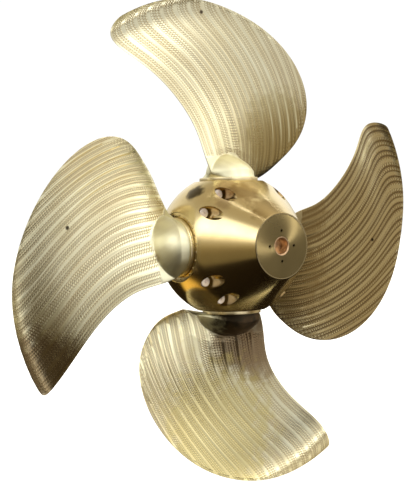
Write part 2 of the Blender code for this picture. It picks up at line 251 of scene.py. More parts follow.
# %% Points of the blade's skin
def blade_points(station, place, side, cut):
    """Points of the blade's skin in its own frame, with the spindle along Z."""
    radius = ROOT_RADIUS + (TIP_RADIUS - ROOT_RADIUS) * np.sin(math.pi / 2 * station)
    chord, skew, rake = chord_at(station), skew_at(station), rake_at(station)
    pitch = np.radians(pitch_at(station))
    share = (radius - ROOT_RADIUS) / (TIP_RADIUS - ROOT_RADIUS)
    thickness = ROOT_THICKNESS + (TIP_THICKNESS - ROOT_THICKNESS) * share
    thickness = np.minimum(thickness, THICKNESS_PER_CHORD * chord)
    arch = CAMBER * chord * (1 - (2 * place) ** 2)
    from_nose = 0.5 - place
    fullness = SECTION_FULLNESS - SECTION_TAPER * from_nose
    section = thickness * fullness * np.sqrt(np.clip(from_nose * (1 - from_nose), 0, None))
    section = section * (1 + side * BACK_SHARE * np.clip(share, 0, 1))
    from_spindle = place * chord + skew * radius / np.cos(pitch)
    from_edge = (0.5 - np.abs(place)) * chord
    bulge = root_bulge(radius, from_spindle, rake + arch, side, from_edge)
    plain = smooth_root(radius, from_spindle)
    edge = np.clip(section / CUT_FADE, 0, 1)
    offset = arch + side * (swell(section, bulge) - cut * (1 - plain) * edge)
    angle = skew + (place * chord * np.cos(pitch) - offset * np.sin(pitch)) / radius
    along = rake + radius * skew * np.tan(pitch)
    along = along + place * chord * np.sin(pitch) + offset * np.cos(pitch)
    return np.stack([radius * np.sin(angle), along, radius * np.cos(angle)], -1), plain


# %% [markdown]
# ## Grids that follow the rows
# The columns of each grid keep a constant distance from the trailing edge, as the cutter's path did.
# Where a row runs out at the leading edge its columns pile up there and are merged, so no crest is
# bent. A narrow strip along the leading edge has columns of its own. The distance along each column is
# summed up too, so the tooth marks keep their length right out to the tip.

# %% Columns and rows of a face
FRONT_COLUMN = 0.005
BACK_COLUMN = 0.012
FIRST_COLUMN = 0.010
EDGE_COLUMNS = 5
EDGE_REACH = 0.009
STRIP_COLUMNS = 8
SPAN_ROWS = 300
FOOT_ROWS = 14
WIDEST = 0.78
FINE_STEPS = 900


def column_distances(spacing):
    """Distances from the trailing edge: close together at the edge, then evenly spaced."""
    edge = [EDGE_REACH * (step / EDGE_COLUMNS) ** 2 for step in range(EDGE_COLUMNS)]
    return np.concatenate([edge, np.arange(FIRST_COLUMN, WIDEST, spacing)])


def span_stations():
    """Stations spaced evenly along the blade's middle line."""
    fine = np.linspace(FIRST_STATION, LAST_STATION, FINE_STEPS)
    middle, _ = blade_points(fine, np.zeros(FINE_STEPS), 1, 0.0)
    steps = np.linalg.norm(np.diff(middle, axis=0), axis=1)
    length = np.concatenate([[0], np.cumsum(steps)])
    even = np.linspace(0, length[-1], SPAN_ROWS)
    return np.interp(even, length, fine), even


stations, lengths = span_stations()
print("length of the blade's middle line:", round(float(lengths[-1]), 3), "m")

# %% [markdown]
# A foot circle on the palm's edge comes first, and a few blended loops carry it into the first full
# section. Each loop lies a share of the way between the two. Where the section reaches far past the
# palm, a higher power holds the loops back, so the skin doesn't bulge over the ring.

# %% The foot's loops
FOOT_RADIUS = 0.1090
FOOT_HEIGHT = 0.2690
FOOT_POWER = 0.70
FOOT_POWER_GAIN = 0.7
REACH_START = 0.95
REACH_SPAN = 0.3


def foot_row(step, place, side, first):
    """A loop between the palm's round edge and the first section."""
    share = step / FOOT_ROWS
    turn = math.radians(float(pitch_at(np.array(0.0))))
    length = FOOT_RADIUS * 2 * place
    width = side * FOOT_RADIUS * math.sqrt(max(0.0, 1 - (2 * place) ** 2))
    across = length * math.cos(turn) - width * math.sin(turn)
    along = length * math.sin(turn) + width * math.cos(turn)
    foot = np.array((across, along, FOOT_HEIGHT))
    reach = math.hypot(first[0], first[1]) / FOOT_RADIUS
    power = FOOT_POWER + FOOT_POWER_GAIN * min(1.0, max(0.0, (reach - REACH_START) / REACH_SPAN))
    spread = np.array((share**power, share**power, share))
    return foot + (first - foot) * spread


print("foot circle:", FOOT_RADIUS, "m in radius,", FOOT_ROWS, "loops")

# %% [markdown]
# Then the grid of one face is laid over the sections: `create_grid` makes it flat, and each of its
# vertices is moved to its place. Three distances stay on the mesh as attributes, because the metal's
# cutter marks are drawn from them.

# %% One face of the blade
STRIP_SHARE = 0.4


def place_of(column, distances, chord):
    """Place along the chord, and how far across the leading strip, of a column of the grid."""
    strip = min(EDGE_STRIP, STRIP_SHARE * chord)
    last = len(distances) - 1
    if column <= last:
        return min(distances[column], chord - strip), 0.0
    share = (column - last) / STRIP_COLUMNS
    return chord - strip * (1 - math.sin(math.pi / 2 * share)), share


def face_grid(side, spacing):
    """A grid over one face, with its distances kept as attributes for the finish."""
    distances = column_distances(spacing)
    columns = len(distances) - 1 + STRIP_COLUMNS
    rows = SPAN_ROWS - 1 + FOOT_ROWS
    chords = chord_at(stations)
    spot = np.array([[place_of(c, distances, chord) for c in range(columns + 1)] for chord in chords])
    across, strip = spot[..., 0], spot[..., 1]
    place = across / chords[:, None] - 0.5
    grid_stations = np.repeat(stations[:, None], columns + 1, 1)
    points, _ = blade_points(grid_stations, place, side, 0.0)
    steps = np.linalg.norm(np.diff(points, axis=0), axis=2)
    along = np.vstack([np.zeros(columns + 1), np.cumsum(steps, axis=0)])
    points, plain = blade_points(grid_stations, place, side, mill_depth(across, along, strip))
    bm = bmesh.new()
    bmesh.ops.create_grid(bm, x_segments=columns, y_segments=rows, size=0.5)
    layers = [bm.verts.layers.float.new(name) for name in ("across", "along", "plain")]
    for vert in bm.verts:
        column = round((vert.co.x + 0.5) * columns)
        row = round((vert.co.y + 0.5) * rows) - FOOT_ROWS
        if row >= 0:
            vert.co = points[row, column]
        else:
            vert.co = foot_row(row + FOOT_ROWS, place[0, column], side, points[0, column])
        inner = max(row, 0)
        smooth = plain[row, column] if row >= 0 else 1.0
        for layer, value in zip(layers, (across[inner, column], along[inner, column], smooth)):
            vert[layer] = value
    return bm


# %% [markdown]
# The two faces share their outer columns, so merging doubles closes the leading and trailing edges.
# The tip and the hidden foot are filled. The blade is drawn once, and later copied and turned to each
# spindle, with the turn baked into the mesh.

# %% Close the blade
MERGE_DISTANCE = 2e-5


def joined(parts):
    """One bmesh from several."""
    bm = bmesh.new()
    for part in parts:
        mesh = bpy.data.meshes.new("part")
        part.to_mesh(mesh)
        part.free()
        bm.from_mesh(mesh)
        bpy.data.meshes.remove(mesh)
    return bm


def finish_mesh(bm, name, smooth=True, sharp=None):
    """Outward normals, then a mesh, smooth up to an angle if one is given."""
    bmesh.ops.recalc_face_normals(bm, faces=bm.faces)
    if bm.calc_volume(signed=True) < 0:
        bmesh.ops.reverse_faces(bm, faces=bm.faces)
    mesh = bpy.data.meshes.new(name)
    bm.to_mesh(mesh)
    bm.free()
    if smooth:
        mesh.shade_smooth()
    if sharp:
        mesh.set_sharp_from_angle(angle=math.radians(sharp))
    return mesh


def blade_mesh():
    bm = joined([face_grid(-1, FRONT_COLUMN), face_grid(1, BACK_COLUMN)])
    bmesh.ops.remove_doubles(bm, verts=bm.verts, dist=MERGE_DISTANCE)
    bmesh.ops.holes_fill(bm, edges=[edge for edge in bm.edges if edge.is_boundary], sides=0)
    return finish_mesh(bm, "blade")


drawn_blade = blade_mesh()
print("blade faces:", len(drawn_blade.polygons))

# %% [markdown]
# Every piece is an object at the origin, unturned, with its place in the mesh. It gets its material,
# rides on the body that carries it in the simulation and hides the solids that it stands for.

# %% Put a mesh in the scene
TO_HUB = Matrix.Translation(HUB_CENTRE)


def to_spindle(index):
    """Carries a piece that is drawn along Z to its port."""
    return TO_HUB @ Matrix.Rotation(index * math.tau / BLADE_COUNT, 4, "Y")


def new_object(name, data):
    item = bpy.data.objects.new(name, data)
    bpy.context.scene.collection.objects.link(item)
    return item


def add_piece(name, mesh, material, slot, body, *nodes):
    """Put a mesh in the scene with its material, riding on a body and standing for CAD nodes. The finish
    slot is not used.
    """
    piece = new_object(name, mesh)
    mesh.materials.clear()
    mesh.materials.append(material)
    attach(piece, body)
    if nodes:
        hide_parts(*nodes)
    return piece


# %% [markdown]
# ## Finishes
# Node groups hold what several metals share, and each is placed in a material with its own values. A
# few helpers keep the node code short. `feed` sets a socket to a value, or links another socket to it,
# and `add_node` takes a table of sockets to feed.

# %% Helpers for nodes
def feed(tree, socket, value):
    """Link a socket to another one, or set it to a number, a point or a colour."""
    if isinstance(value, bpy.types.NodeSocket):
        tree.links.new(value, socket)
    elif socket.type == "RGBA":
        socket.default_value = (*value, 1)
    else:
        socket.default_value = value


def add_node(tree, kind, sockets=None, **settings):
    """A node with its settings, and with some of its input sockets fed."""
    node = tree.nodes.new(kind)
    for key, value in settings.items():
        setattr(node, key, value)
    for label, value in (sockets or {}).items():
        feed(tree, node.inputs[label], value)
    return node


def math_node(tree, operation, *values):
    return add_node(tree, "ShaderNodeMath", dict(enumerate(values)), operation=operation).outputs[0]


def mix_colour(tree, factor, first, second, blend="MIX"):
    sockets = {"Factor": factor, 6: first, 7: second}
    return add_node(tree, "ShaderNodeMix", sockets, data_type="RGBA", blend_type=blend).outputs[2]


def map_range(tree, value, start, end, low=0.0, high=1.0, kind="SMOOTHSTEP"):
    """Carry a value from between start and end to between low and high."""
    sockets = {"Value": value, "From Min": start, "From Max": end, "To Min": low, "To Max": high}
    return add_node(tree, "ShaderNodeMapRange", sockets, interpolation_type=kind).outputs["Result"]


def noise(tree, vector, scale, detail):
    sockets = {"Vector": vector, "Scale": scale, "Detail": detail}
    return add_node(tree, "ShaderNodeTexNoise", sockets).outputs["Fac"]


def object_place(tree):
    return add_node(tree, "ShaderNodeTexCoord").outputs["Object"]


def split_xyz(tree, vector):
    return add_node(tree, "ShaderNodeSeparateXYZ", {0: vector}).outputs


def distance_from(tree, point):
    sockets = {0: object_place(tree), 1: point}
    return add_node(tree, "ShaderNodeVectorMath", sockets, operation="DISTANCE").outputs["Value"]


def new_group(name, inputs, outputs):
    """A node group, the sockets that it starts from and the sockets that it ends in."""
    group = bpy.data.node_groups.new(name, "ShaderNodeTree")
    kinds = {tuple: "NodeSocketColor", Vector: "NodeSocketVector", float: "NodeSocketFloat"}
    for label, value in inputs.items():
        kind = kinds[type(value)]
        socket = group.interface.new_socket(name=label, in_out="INPUT", socket_type=kind)
        socket.default_value = (*value, 1) if isinstance(value, tuple) else value
    for label in outputs:
        kind = "NodeSocketColor" if label == "Colour" else "NodeSocketFloat"
        group.interface.new_socket(name=label, in_out="OUTPUT", socket_type=kind)
    return group, group.nodes.new("NodeGroupInput").outputs, group.nodes.new("NodeGroupOutput").inputs


# %% [markdown]
# Bronze is never one colour. `bronze tone` mixes a bright and a deep tone in soft clouds, and makes the
# deeper places a little duller. A noise on Object coordinates is enough, because every piece lies in
# the same frame, so the clouds run on from one piece to the next.

# %% Bronze tone: cloudy colour and tarnish
CLOUD_EDGES = (0.38, 0.72)
TARNISH_DULLNESS = 0.25


def bronze_tone_group():
    inputs = {"Bright": (0.80, 0.70, 0.48), "Deep": (0.52, 0.40, 0.22), "Cloud Size": 9.0, "Tarnish": 0.3,
              "Roughness": 0.25}
    group, start, end = new_group("bronze tone", inputs, ("Colour", "Roughness"))
    clouds = noise(group, object_place(group), start["Cloud Size"], 6.0)
    spread = map_range(group, clouds, *CLOUD_EDGES, kind="LINEAR")
    amount = math_node(group, "MULTIPLY", spread, start["Tarnish"])
    feed(group, end["Colour"], mix_colour(group, amount, start["Bright"], start["Deep"]))
    rough = math_node(group, "MULTIPLY_ADD", amount, TARNISH_DULLNESS, start["Roughness"])
    feed(group, end["Roughness"], rough)
    return group


bronze_tone = bronze_tone_group()
print("group:", bronze_tone.name)

# %% [markdown]
# A lathe leaves fine rings about the shaft axis. `turned marks` is a noise in one dimension, along the
# sum of the radius and the depth, so it makes rings on a flat face, on a cone and on a cylinder alike.

# %% Turned marks: fine rings about the shaft axis
def turned_marks_group():
    group, start, end = new_group("turned marks", {"Rings per Metre": 400.0}, ("Height",))
    x, y, z = split_xyz(group, object_place(group))
    square = math_node(group, "MULTIPLY_ADD", x, x, math_node(group, "MULTIPLY", z, z))
    radius = math_node(group, "SQRT", square)
    rings = math_node(group, "MULTIPLY", math_node(group, "ADD", radius, y), start["Rings per Metre"])
    sockets = {"W": rings, "Scale": 1.0, "Detail": 3.0}
    marks = add_node(group, "ShaderNodeTexNoise", sockets, noise_dimensions="1D")
    feed(group, end["Height"], marks.outputs["Fac"])
    return group


turned_marks = turned_marks_group()
print("group:", turned_marks.name)

# %% [markdown]
# `cutter dimples` draws the small dimple that each tooth leaves, 12 mm across the passes and about
# 11 mm along them. It reads the distances that the blade's mesh carries, so its rows lie exactly in the
# milled troughs. Each pass is shifted a little against the last, which gives the slanting pattern. It
# puts out masks as well: the rims of the dimples, the shaded side of each trough, the gaps between
# teeth, the smooth crests, and long clouds that follow the rows.

# %% Cutter dimples
PASS_SHIFT = 0.38
TOOTH_DRIFT = 1.2
RIM_STEEPNESS = 2.6
SHADED_SIDE = 0.22
SHADE_SHARPNESS = 1.6
GAP_SHARPNESS = 1.5
CREST_EDGES = (0.20, 0.08)
CLOUD_STRETCH = (1.0, 0.18, 1.0)


def cutter_dimples_group():
    group, start, end = new_group("cutter dimples", {"Across": 0.0, "Along": 0.0, "Smooth": 0.0},
                                  ("Height", "Rim", "Crest", "Row", "Tooth", "Cloud"))

    def do(operation, *values):
        return math_node(group, operation, *values)

    across, along = start["Across"], start["Along"]
    spot = add_node(group, "ShaderNodeCombineXYZ", {0: across, 1: along}).outputs[0]
    rows = do("DIVIDE", across, PASS_PITCH)
    teeth = do("MULTIPLY_ADD", do("FLOOR", rows), PASS_SHIFT, do("DIVIDE", along, TOOTH_PITCH))
    teeth = do("MULTIPLY_ADD", noise(group, spot, 9.0, 2.0), TOOTH_DRIFT, teeth)
    side = do("SUBTRACT", do("FRACT", rows), 0.5)
    front = do("SUBTRACT", do("FRACT", teeth), 0.5)
    square = do("MULTIPLY_ADD", side, side, do("MULTIPLY", front, front))
    rim = do("MINIMUM", do("MULTIPLY", square, RIM_STEEPNESS), 1.0)
    gap = do("POWER", do("MULTIPLY", do("ABSOLUTE", front), 2.0), GAP_SHARPNESS)
    trough = do("SUBTRACT", do("DIVIDE", across, TROUGH_PITCH), SHADED_SIDE)
    lit_side = do("COSINE", do("MULTIPLY", trough, math.tau))
    shaded = do("POWER", do("MULTIPLY_ADD", lit_side, -0.5, 0.5), SHADE_SHARPNESS)
    sway = do("SINE", do("MULTIPLY_ADD", along, 5.0, 0.5))
    crest = do("DIVIDE", do("MULTIPLY_ADD", sway, CREST_SWAY, across), CREST_PITCH)
    crest = map_range(group, do("ABSOLUTE", do("SUBTRACT", crest, do("ROUND", crest))), *CREST_EDGES)
    rough = do("MULTIPLY", do("SUBTRACT", 1.0, crest), do("SUBTRACT", 1.0, start["Smooth"]))
    masks = {"Height": rim, "Rim": do("POWER", rim, 2.0), "Row": shaded, "Tooth": gap}
    for label, mask in masks.items():
        feed(group, end[label], do("MULTIPLY", mask, rough))
    feed(group, end["Crest"], crest)
    stretched = add_node(group, "ShaderNodeMapping", {"Vector": spot, "Scale": CLOUD_STRETCH}).outputs[0]
    feed(group, end["Cloud"], noise(group, stretched, 14.0, 5.0))
    return group


cutter_dimples = cutter_dimples_group()
print("group:", cutter_dimples.name)

# %% [markdown]
# Each material keeps its own Principled shader, with constants on the shader's sockets and the groups
# feeding colour, roughness and bump. The nose plate's rings are too fine to see one by one, so it also
# has a strong anisotropy about the shaft, which draws the two bright spokes of a turned face.

# %% One metal
def feed_shader(tree, values):
    for label, value in values.items():
        feed(tree, tree.nodes["Principled BSDF"].inputs[label], value)


def relief(tree, height, distance):
    """A bump of a height in metres."""
    sockets = {"Height": height, "Distance": distance, "Strength": 1.0}
    return add_node(tree, "ShaderNodeBump", sockets).outputs["Normal"]


def metal(name, bright, deep, roughness, tarnish, clouds=9.0, metallic=1.0, marks=None, bump=0.0):
    material = bpy.data.materials.new(name)
    material.use_nodes = True
    tree = material.node_tree
    values = {"Bright": bright, "Deep": deep, "Cloud Size": clouds, "Tarnish": tarnish,
              "Roughness": roughness}
    tone = add_node(tree, "ShaderNodeGroup", values, node_tree=bronze_tone, name="tone").outputs
    feed_shader(tree, {"Metallic": metallic, "Base Color": tone["Colour"], "Roughness": tone["Roughness"]})
    if marks:
        rings = add_node(tree, "ShaderNodeGroup", {"Rings per Metre": marks}, node_tree=turned_marks)
        feed_shader(tree, {"Normal": relief(tree, rings.outputs["Height"], bump)})
    return material


palm_bronze = metal("palm bronze", (0.90, 0.80, 0.54), (0.62, 0.46, 0.20), 0.26, 0.4, clouds=6.0)
# The nose plate's base colour is far darker than the other bronze: painted shade, so the turned face stays
# dim where it mirrors the bright soft box.
shaded_nose_bronze = metal("turned nose bronze", (0.125, 0.094, 0.040), (0.075, 0.054, 0.022), 0.27, 0.3,
                    marks=900.0, bump=0.00001)
ANISOTROPY = 0.9
about_shaft = add_node(shaded_nose_bronze.node_tree, "ShaderNodeTangent", direction_type="RADIAL", axis="Y")
feed_shader(shaded_nose_bronze.node_tree, {"Anisotropic": ANISOTROPY, "Tangent": about_shaft.outputs["Tangent"]})
ring_bronze = metal("ring bronze", (0.84, 0.72, 0.44), (0.55, 0.40, 0.18), 0.20, 0.3)
bolt_bronze = metal("bolt bronze", (0.95, 0.86, 0.80), (0.62, 0.50, 0.42), 0.42, 0.3, clouds=60.0,
                    metallic=0.6)
screw_bronze = metal("screw bronze", (0.74, 0.62, 0.38), (0.30, 0.20, 0.09), 0.28, 0.6, clouds=80.0)
bush_copper = metal("bush copper", (0.78, 0.55, 0.34), (0.26, 0.15, 0.07), 0.30, 0.8, clouds=50.0)
print("plain metals:", len(bpy.data.materials))

# %% [markdown]
# The real propeller has a few small pits. The other dark spots are painted shade and painted
# reflections: an almost black foot on the lowest blade, a dark tip on the left-hand one, soft darker
# tints on the others and brown spots on the casing. A spot is the distance from a point, made ragged
# with noise and cut to a soft edge. Both the blades and the casing have them, so the spot is a node
# group too. As the points are given from the hub's centre, four blades of one shape can each have their
# own spots.

# %% A dark spot, soft and ragged, for pits, painted shade and painted reflections
STAIN_GRAIN = 30.0
STAIN_DETAIL = 5.0
STAIN_HEART = 0.5


def stain_and_shade_group():
    inputs = {"Colour": (0.80, 0.70, 0.48), "Middle": Vector((0, 0, 0)), "Size": 0.1,
              "Dirt": (0.05, 0.03, 0.02), "Strength": 1.0}
    group, start, end = new_group("stain_and_shade", inputs, ("Colour",))
    grain = noise(group, object_place(group), STAIN_GRAIN, STAIN_DETAIL)
    ragged = math_node(group, "SUBTRACT", grain, 0.5)
    gap = distance_from(group, start["Middle"])
    distance = math_node(group, "MULTIPLY_ADD", ragged, start["Size"], gap)
    heart = math_node(group, "MULTIPLY", start["Size"], STAIN_HEART)
    dirt_and_shade_amount = map_range(group, distance, start["Size"], heart, high=start["Strength"])
    feed(group, end["Colour"], mix_colour(group, dirt_and_shade_amount, start["Colour"], start["Dirt"]))
    return group


stain_and_shade = stain_and_shade_group()


def stained_and_shaded(tree, colour, spots):
    """A colour with dark spots for pits, painted shade and painted reflections, each with its middle from
    the hub's centre, size, dark colour and strength.
    """
    for middle, size, dirt_and_shade, strength in spots:
        values = {"Colour": colour, "Middle": HUB_CENTRE + Vector(middle), "Size": size, "Dirt": dirt_and_shade,
                  "Strength": strength}
        colour = add_node(tree, "ShaderNodeGroup", values, node_tree=stain_and_shade).outputs["Colour"]
    return colour


# Dark spots on the blades: the first eight are painted shade (the lowest blade's dark foot and root, the
# left-hand blade's dark tip, and soft darker tints on the top, lowest and right-hand blades); the last
# three are small pits.
BLADE_PITS_AND_PAINTED_SHADE = [
    ((-0.01, -0.10, -0.285), 0.160, (0.035, 0.023, 0.013), 0.96),
    ((0.05, -0.01, -0.395), 0.175, (0.17, 0.11, 0.06), 0.82),
    ((0.14, -0.01, -0.45), 0.150, (0.26, 0.18, 0.10), 0.75),
    ((-0.86, 0.0, -0.46), 0.240, (0.22, 0.15, 0.08), 0.75),
    ((0.27, 0.03, 0.46), 0.210, (0.42, 0.35, 0.15), 0.50),
    ((-0.08, 0.02, -0.76), 0.360, (0.62, 0.53, 0.20), 0.55),
    ((0.36, -0.03, 0.10), 0.200, (0.30, 0.22, 0.10), 0.60),
    ((0.38, 0.04, -0.16), 0.200, (0.30, 0.22, 0.10), 0.55),
    ((-0.729, 0.008, 0.090), 0.010, (0.03, 0.02, 0.01), 0.95),
    ((0.786, 0.007, -0.004), 0.011, (0.03, 0.02, 0.01), 0.95),
    ((-0.106, 0.010, 0.920), 0.010, (0.05, 0.03, 0.02), 0.90),
]
# Brown spots on the casing: painted reflections of darker things round it.
CASING_PAINTED_REFLECTIONS = [
    ((-0.190, -0.037, 0.214), 0.048, (0.07, 0.05, 0.02), 0.95),
    ((-0.105, -0.130, 0.215), 0.060, (0.34, 0.22, 0.12), 0.65),
    ((-0.150, -0.165, 0.160), 0.045, (0.36, 0.24, 0.13), 0.50),
    ((-0.020, -0.160, 0.215), 0.060, (0.36, 0.24, 0.13), 0.50),
    ((-0.070, -0.190, 0.207), 0.075, (0.34, 0.22, 0.08), 0.75),
    ((-0.040, -0.290, 0.140), 0.080, (0.36, 0.25, 0.10), 0.75),
]
print("group:", stain_and_shade.name, "for", len(BLADE_PITS_AND_PAINTED_SHADE) + len(CASING_PAINTED_REFLECTIONS), "stains and shades")

# %% [markdown]
# The milled bronze is painted darker in the rims of the dimples, in the gaps between teeth and on the
# shaded side of each trough: painted shade of the cutter marks, which darkens the crests a little too.
# This painted shade is strongest on the right-hand blade: near its middle the rows are almost fully
# dark, and elsewhere only faintly. The smooth root is a little duller than the cut face, as hand
# polishing leaves it satin.

# %% The milled bronze of the blades
# Where the painted shade of the cutter marks is strongest: round a point on the right-hand blade.
SHADE_SPOT = HUB_CENTRE + Vector((0.72, 0.0, 0.05))
SHADE_SPOT_EDGES = (0.68, 0.48)
SHADE_SPOT_SHARES = (0.22, 0.90)
BAND_EDGES = (0.40, 0.66)
BAND_SHARE = 0.35
BAND_COLOUR = (0.58, 0.47, 0.26)
RIM_SHARE = 0.95
CREST_SHARE = 0.45
ROOT_SATIN = 0.20
DIMPLE_RELIEF = 0.00065


def milled_metal():
    """Bronze with cutter dimples, with painted shade in their rims, tooth gaps and trough sides, and darker
    in long soft bands.
    """
    material = metal("milled bronze", (0.90, 0.88, 0.66), (0.68, 0.61, 0.36), 0.22, 0.35, clouds=5.0)
    tree = material.node_tree
    tone = tree.nodes["tone"].outputs
    across, along, plain = (add_node(tree, "ShaderNodeAttribute", attribute_name=name).outputs["Fac"]
                            for name in ("across", "along", "plain"))
    distances = {"Across": across, "Along": along, "Smooth": plain}
    dimples = add_node(tree, "ShaderNodeGroup", distances, node_tree=cutter_dimples).outputs
    band = map_range(tree, dimples["Cloud"], *BAND_EDGES, high=BAND_SHARE, kind="LINEAR")
    band = math_node(tree, "MULTIPLY", band, math_node(tree, "SUBTRACT", 1.0, plain))
    colour = mix_colour(tree, band, tone["Colour"], BAND_COLOUR)
    # Painted shade: rows, tooth gaps and crests are darkened most round that point, and faintly elsewhere.
    shade_share = map_range(tree, distance_from(tree, SHADE_SPOT), *SHADE_SPOT_EDGES, *SHADE_SPOT_SHARES)
    crest_share = math_node(tree, "MULTIPLY", shade_share, CREST_SHARE)
    # Each mask mixes the colour toward a dark one: painted shade of the cutter marks.
    shades = (("Row", shade_share, (0.17, 0.12, 0.06)), ("Tooth", shade_share, (0.14, 0.095, 0.045)),
              ("Crest", crest_share, (0.42, 0.33, 0.17)), ("Rim", RIM_SHARE, (0.34, 0.23, 0.09)))
    for label, share, dark in shades:
        colour = mix_colour(tree, math_node(tree, "MULTIPLY", dimples[label], share), colour, dark)
    colour = stained_and_shaded(tree, colour, BLADE_PITS_AND_PAINTED_SHADE)
    rough = math_node(tree, "MULTIPLY_ADD", plain, ROOT_SATIN, tone["Roughness"])
    feed_shader(tree, {"Base Color": colour, "Roughness": rough,
                       "Normal": relief(tree, dimples["Height"], DIMPLE_RELIEF)})
    return material


milled_bronze = milled_metal()
print("material:", milled_bronze.name)

# %% [markdown]
# The casing is turned and polished almost to a mirror, so nearly all of its look comes from the room;
# its brown spots are painted reflections. Its narrow ring round the nose plate gets the same painted
# shade as the plate, so that the two read as one face.

# %% The polished bronze of the casing
# The casing's ring round the nose plate is mixed toward a dark colour: the same painted shade as the plate.
SEAT_RING_EDGES = (0.0022, 0.0004)
SEAT_RING_SHARE = 0.85
SEAT_RING_SHADE = (0.20, 0.15, 0.07)


def polished_metal():
    material = metal("polished bronze", (0.80, 0.67, 0.38), (0.40, 0.27, 0.10), 0.15, 0.35, clouds=6.0,
                     marks=300.0, bump=0.00002)
    tree = material.node_tree
    colour = stained_and_shaded(tree, tree.nodes["tone"].outputs["Colour"], CASING_PAINTED_REFLECTIONS)
    depth = split_xyz(tree, object_place(tree))["Y"]
    start, end = (HUB_CENTRE.y + NOSE_FACE + edge for edge in SEAT_RING_EDGES)
    seat = map_range(tree, depth, start, end, high=SEAT_RING_SHARE, kind="LINEAR")
    feed_shader(tree, {"Base Color": mix_colour(tree, seat, colour, SEAT_RING_SHADE)})
    return material


polished_bronze = polished_metal()
print("material:", polished_bronze.name)

# %% [markdown]
# The four blades have one shape, as cast from one pattern. Each copy is turned to its spindle, rides on
# its own pitch body and stands for one solid.

# %% Place the blades
for index in range(BLADE_COUNT):
    mesh = drawn_blade.copy()
    mesh.transform(to_spindle(index))
    number = index + 1
    body = f"pitch_blade_{number}"
    add_piece(f"milled_blade_{number}", mesh, milled_bronze, "blade_bronze", body, f"blade_{number}")
bpy.data.meshes.remove(drawn_blade)
print("blades placed:", BLADE_COUNT)

# %% [markdown]
# ## Turned pieces
# The hub, the rings, the palms and the bolts are all bodies of revolution. A profile drawn as a chain
# of vertices is spun about its axis, and the seam is merged.

# %% Spin a profile
SEAM = 1e-6
ROUNDING_STEPS = 3


def spun(profile, axis, steps, matrix=None):
    """A closed bmesh turned from (distance along the axis, radius) points."""
    bm = bmesh.new()
    along_z = axis == "Z"
    places = [(radius, 0, along) if along_z else (radius, along, 0) for along, radius in profile]
    points = [bm.verts.new(place) for place in places]
    closed = profile[0][1] > 0
    pairs = list(zip(points, points[1:])) + ([(points[-1], points[0])] if closed else [])
    edges = [bm.edges.new(pair) for pair in pairs]
    turn_axis = (0, 0, 1) if along_z else (0, 1, 0)
    bmesh.ops.spin(bm, geom=points + edges, cent=(0, 0, 0), axis=turn_axis, angle=math.tau, steps=steps,
                   use_merge=True)
    bmesh.ops.remove_doubles(bm, verts=bm.verts, dist=SEAM)
    if matrix is not None:
        bmesh.ops.transform(bm, matrix=matrix, verts=bm.verts)
    return bm


def rounded(points, size):
    """Replace each inner corner of a profile by a small curve."""
    made = [points[0]]
    for before, corner, after in zip(points, points[1:], points[2:]):
        corner, before, after = Vector(corner), Vector(before), Vector(after)
        start = corner + (before - corner).normalized() * min(size, (before - corner).length / 2)
        end = corner + (after - corner).normalized() * min(size, (after - corner).length / 2)
        for step in range(ROUNDING_STEPS + 1):
            share = step / ROUNDING_STEPS
            made.append(tuple((1 - share) ** 2 * start + 2 * share * (1 - share) * corner + share**2 * end))
    return made + [points[-1]]


# %% [markdown]
# Each blade stands on a round palm that turns in the port, and a seal ring lies round it in a recess.
# Both are spun about the port's axis. The palm has a lip over the ring's inner edge. Every visible
# corner is rounded a little, because a sharp one catches no light.

# %% Sizes of the ports, as heights and radii about a spindle
PORT_PLANE = 0.252
RECESS_RADIUS = 0.137
RECESS_FLOOR = 0.236
PORT_BORE_RADIUS = 0.1125
PORT_FLOOR = 0.184
RING_RADIUS = 0.1362
RING_BORE_RADIUS = 0.1132
RING_CHAMFER = 0.0015
PALM_RADIUS = 0.1115
LIP_RADIUS = 0.1162
LIP_BOTTOM = 0.2550
LIP_TOP = 0.2692
PORT_SPIN = 128
PORT_SHARP = 40
print("ring width:", round(RING_RADIUS - RING_BORE_RADIUS, 4), "m")

# %% Palms and port rings
palm_foot = PORT_FLOOR + SEAT_GAP
ring_foot = RECESS_FLOOR + SEAT_GAP
lip = [(LIP_BOTTOM, PALM_RADIUS), (LIP_BOTTOM, LIP_RADIUS), (LIP_TOP, LIP_RADIUS), (LIP_TOP, 0)]
palm_profile = [(palm_foot, 0), (palm_foot, PALM_RADIUS), lip[0]] + rounded(lip, RIM)[1:]
ring_corners = [(ring_foot, RING_RADIUS), (PORT_PLANE, RING_RADIUS), (PORT_PLANE, RING_BORE_RADIUS),
                (ring_foot, RING_BORE_RADIUS)]
ring_profile = [ring_corners[3], ring_corners[0]] + rounded(ring_corners, RING_CHAMFER)[1:-1]
for index in range(BLADE_COUNT):
    number = index + 1
    palm = finish_mesh(spun(palm_profile, "Z", PORT_SPIN, to_spindle(index)), "palm", sharp=PORT_SHARP)
    add_piece(f"round_palm_{number}", palm, palm_bronze, "blade_bronze", f"pitch_blade_{number}",
              f"blade_palm_{number}")
    ring = finish_mesh(spun(ring_profile, "Z", PORT_SPIN, to_spindle(index)), "ring", sharp=PORT_SHARP)
    add_piece(f"seal_ring_{number}", ring, ring_bronze, "ring_bronze", "hub", f"port_ring_{number}")
print("palms and rings:", BLADE_COUNT * 2)

# %% [markdown]
# ## Screws of the port rings
# Each ring is held by a circle of small socket screws. One screw is a short turned profile, and a
# loop sets it round the ring. A dozen sides are enough at this size.

